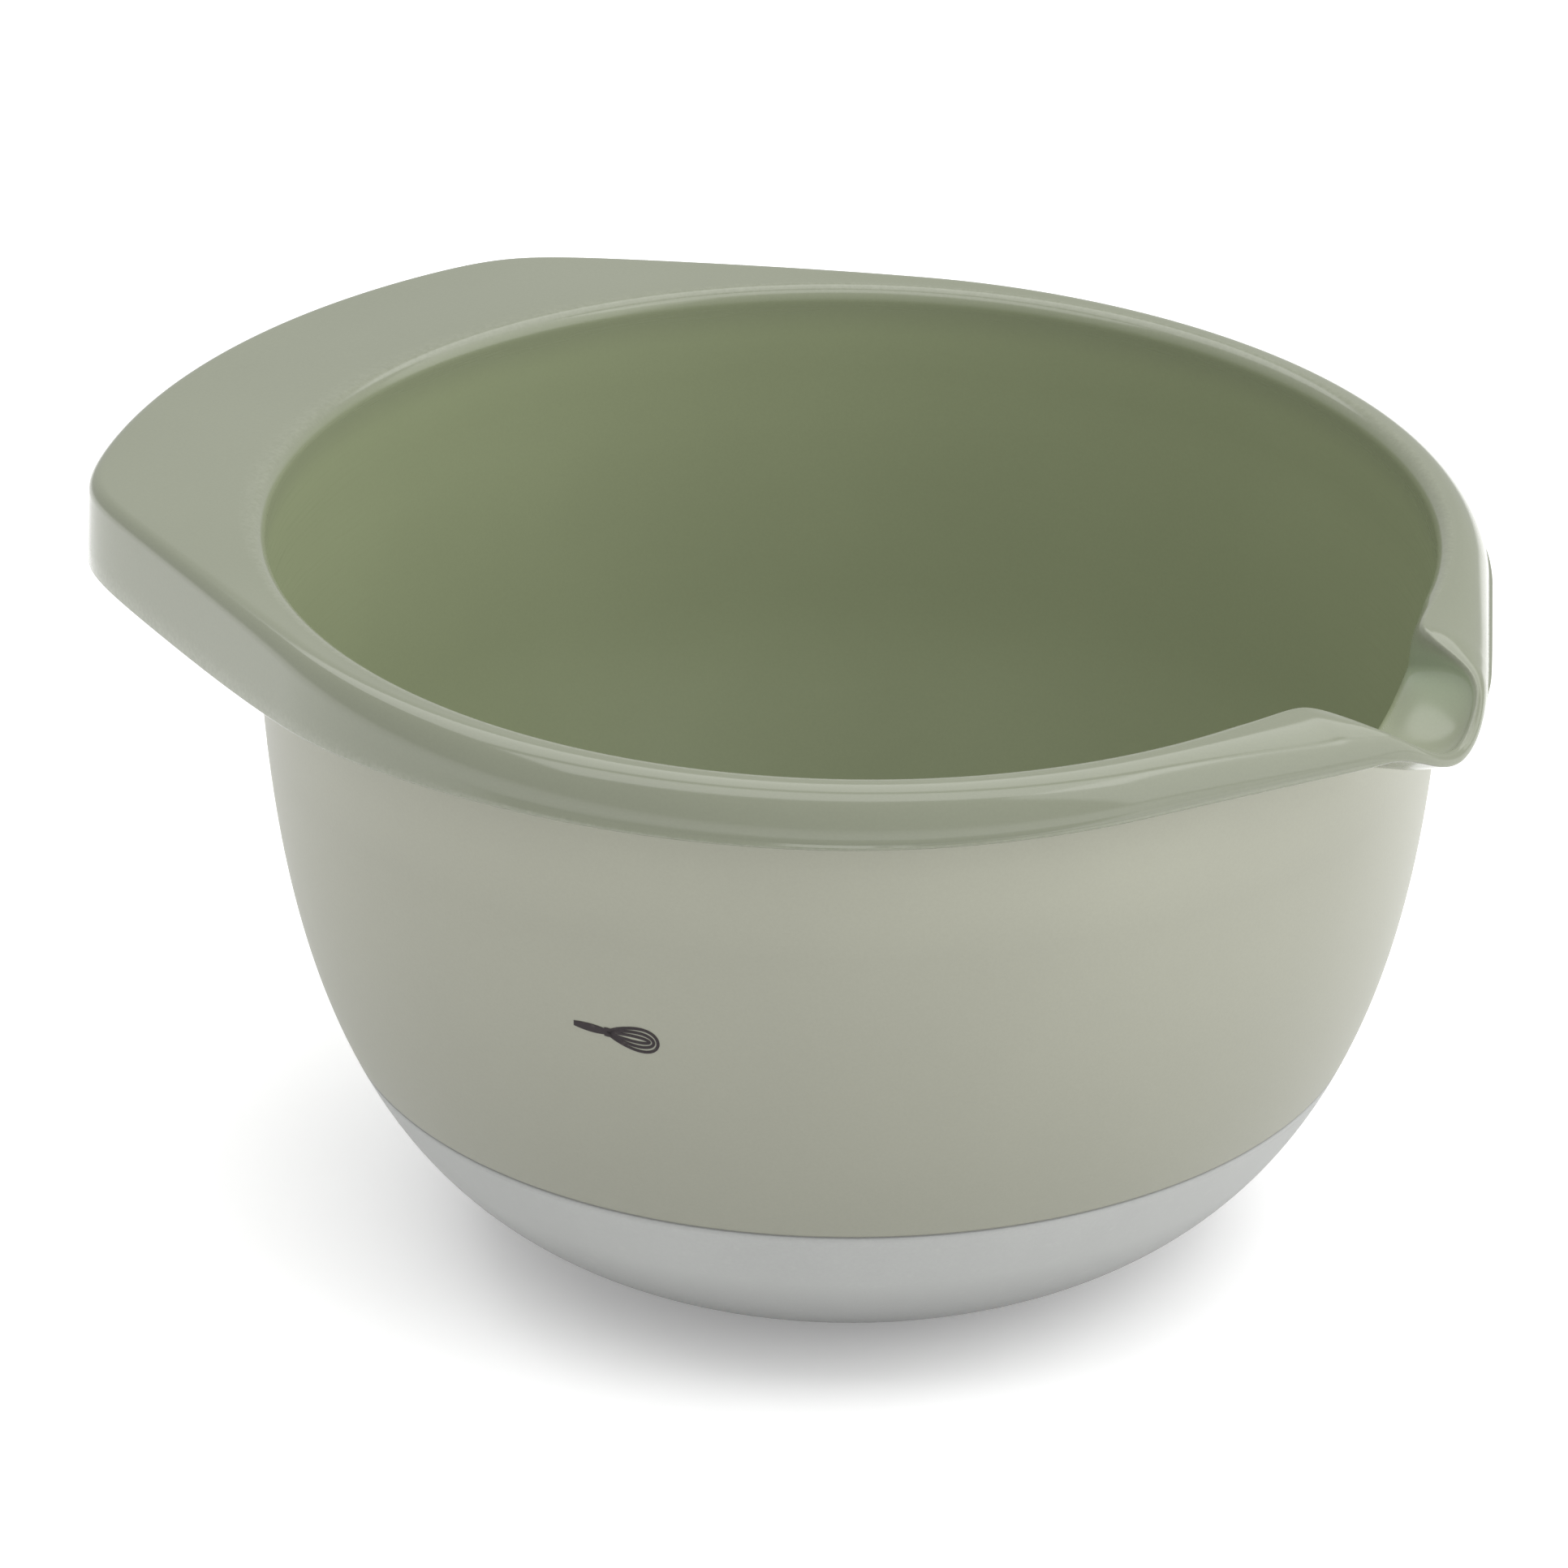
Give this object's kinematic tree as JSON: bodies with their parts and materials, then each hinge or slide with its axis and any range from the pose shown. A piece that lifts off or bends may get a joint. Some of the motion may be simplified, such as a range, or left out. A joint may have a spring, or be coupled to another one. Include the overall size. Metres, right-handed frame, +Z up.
{
  "type": "mixing bowl",
  "caption": "Round plastic mixing bowl with a rolled rim, a wide grip flange, a pour spout opposite it and a soft non-slip base.",
  "frame": {"origin": "centre of the flat foot, on the bowl's own axis", "axes": "+Z up along the bowl's axis, +X towards the pour spout, -X towards the grip flange"},
  "size_m": [0.3044, 0.2618, 0.157],
  "materials": {
    "bowl_plastic": "sage green, glossy rim, satin wall",
    "base_soft": "light grey, matt and soft"
  },
  "bodies": {
    "root": {"bowl_shell": "bowl_plastic", "non_slip_base": "base_soft"}
  },
  "joints": []
}
